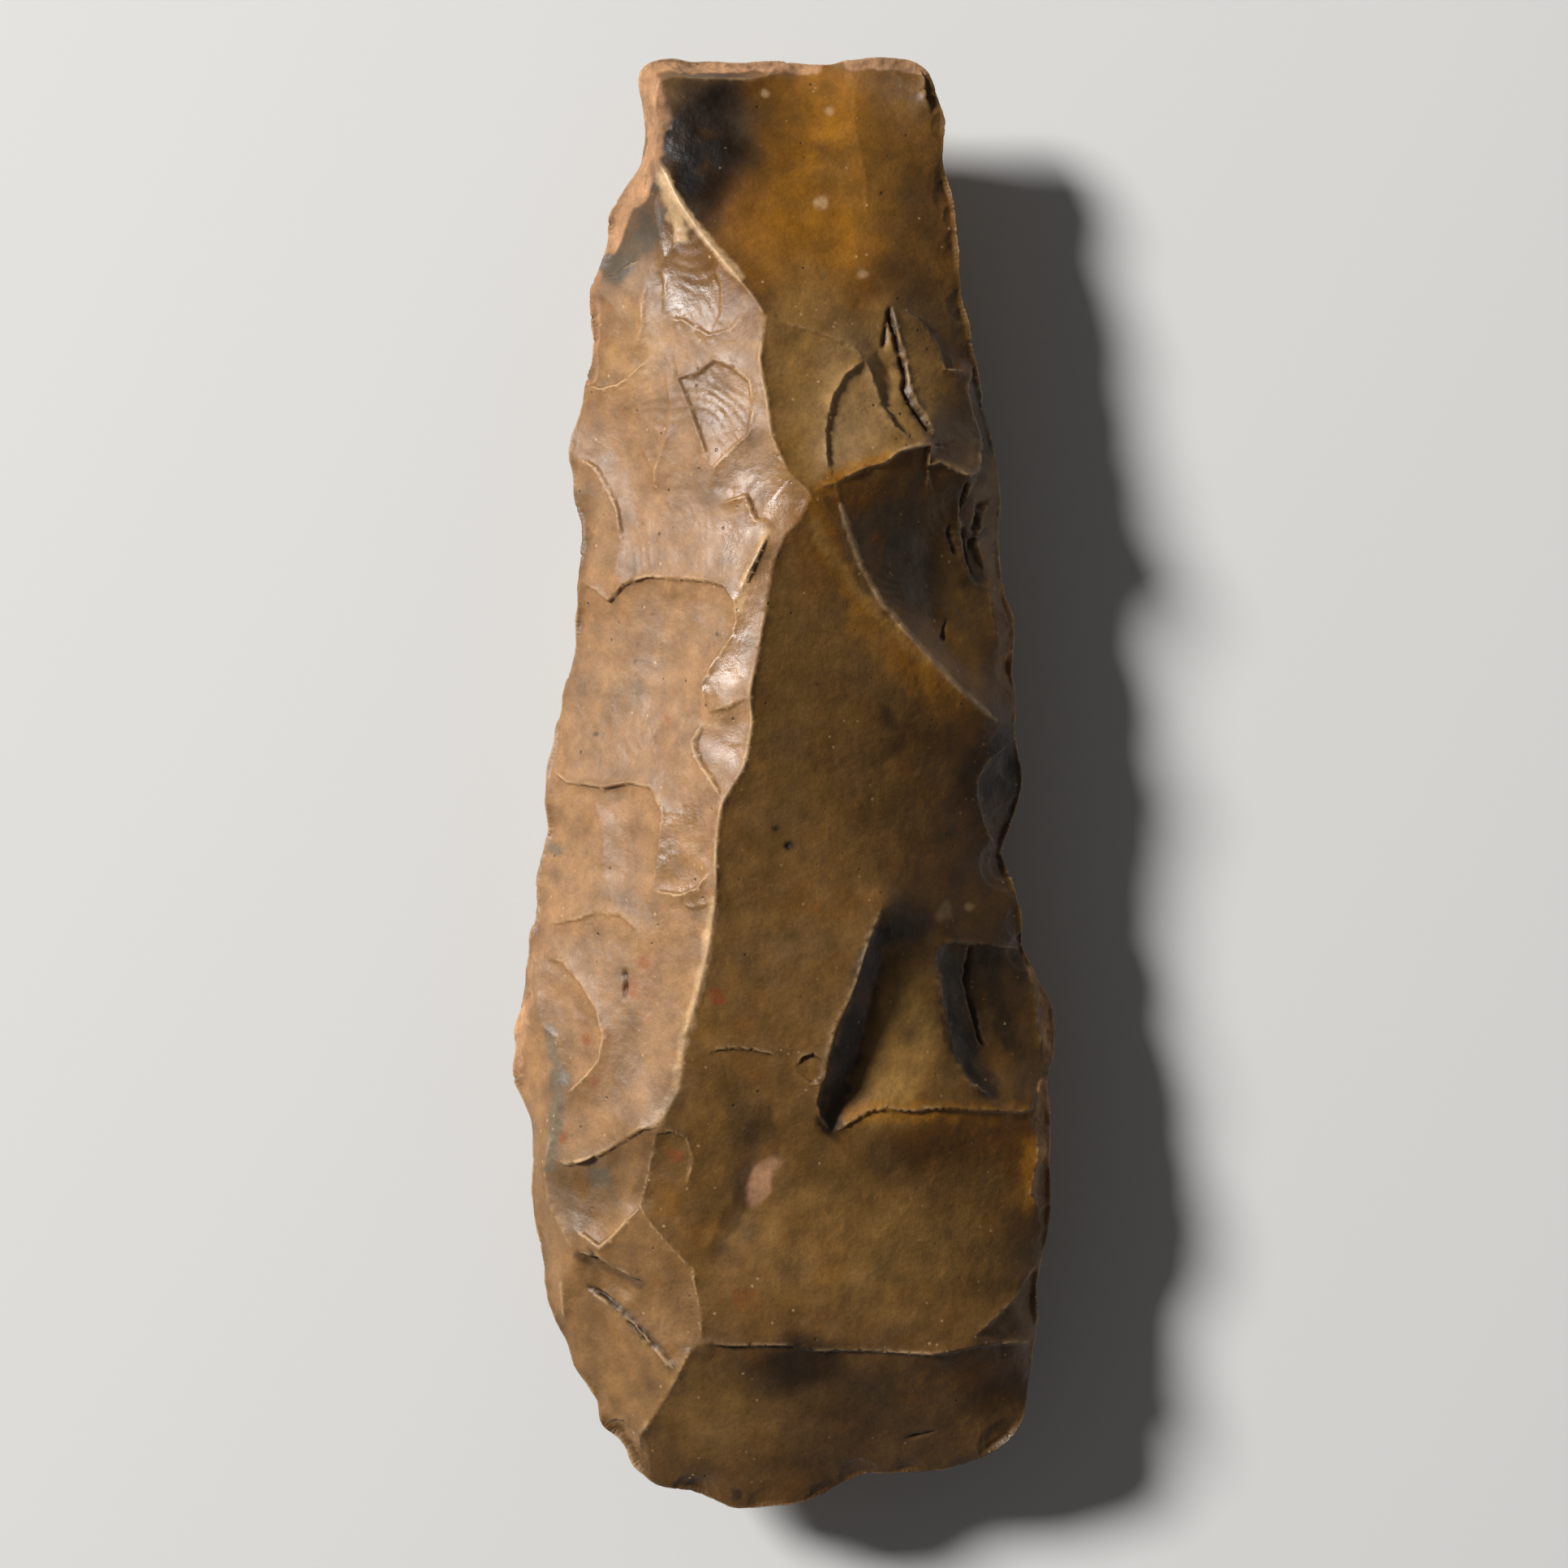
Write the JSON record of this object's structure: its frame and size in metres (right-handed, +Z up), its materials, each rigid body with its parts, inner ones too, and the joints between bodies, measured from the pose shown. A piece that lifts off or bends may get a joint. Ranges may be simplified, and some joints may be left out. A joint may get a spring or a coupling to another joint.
{
  "type": "stone axe",
  "caption": "Flaked flint axe head, long and tapering from a narrow square butt to a broad rounded cutting edge, with a ridged face, hollow scars and sinuous edges.",
  "frame": {"origin": "under the middle of the stone, on the plane of its flat resting facet", "axes": "+Z up, away from the resting facet; +Y along the stone towards its narrow butt, so the cutting edge is at -Y; +X to the right, seen from above with the butt away from the viewer"},
  "size_m": [0.0672, 0.1788, 0.033],
  "materials": {
    "flint": "waxy flaked flint, mottled tan to amber and dark brown, with traces of rough pinkish rind"
  },
  "bodies": {
    "root": {"flint_axe_head": "flint"}
  },
  "joints": []
}
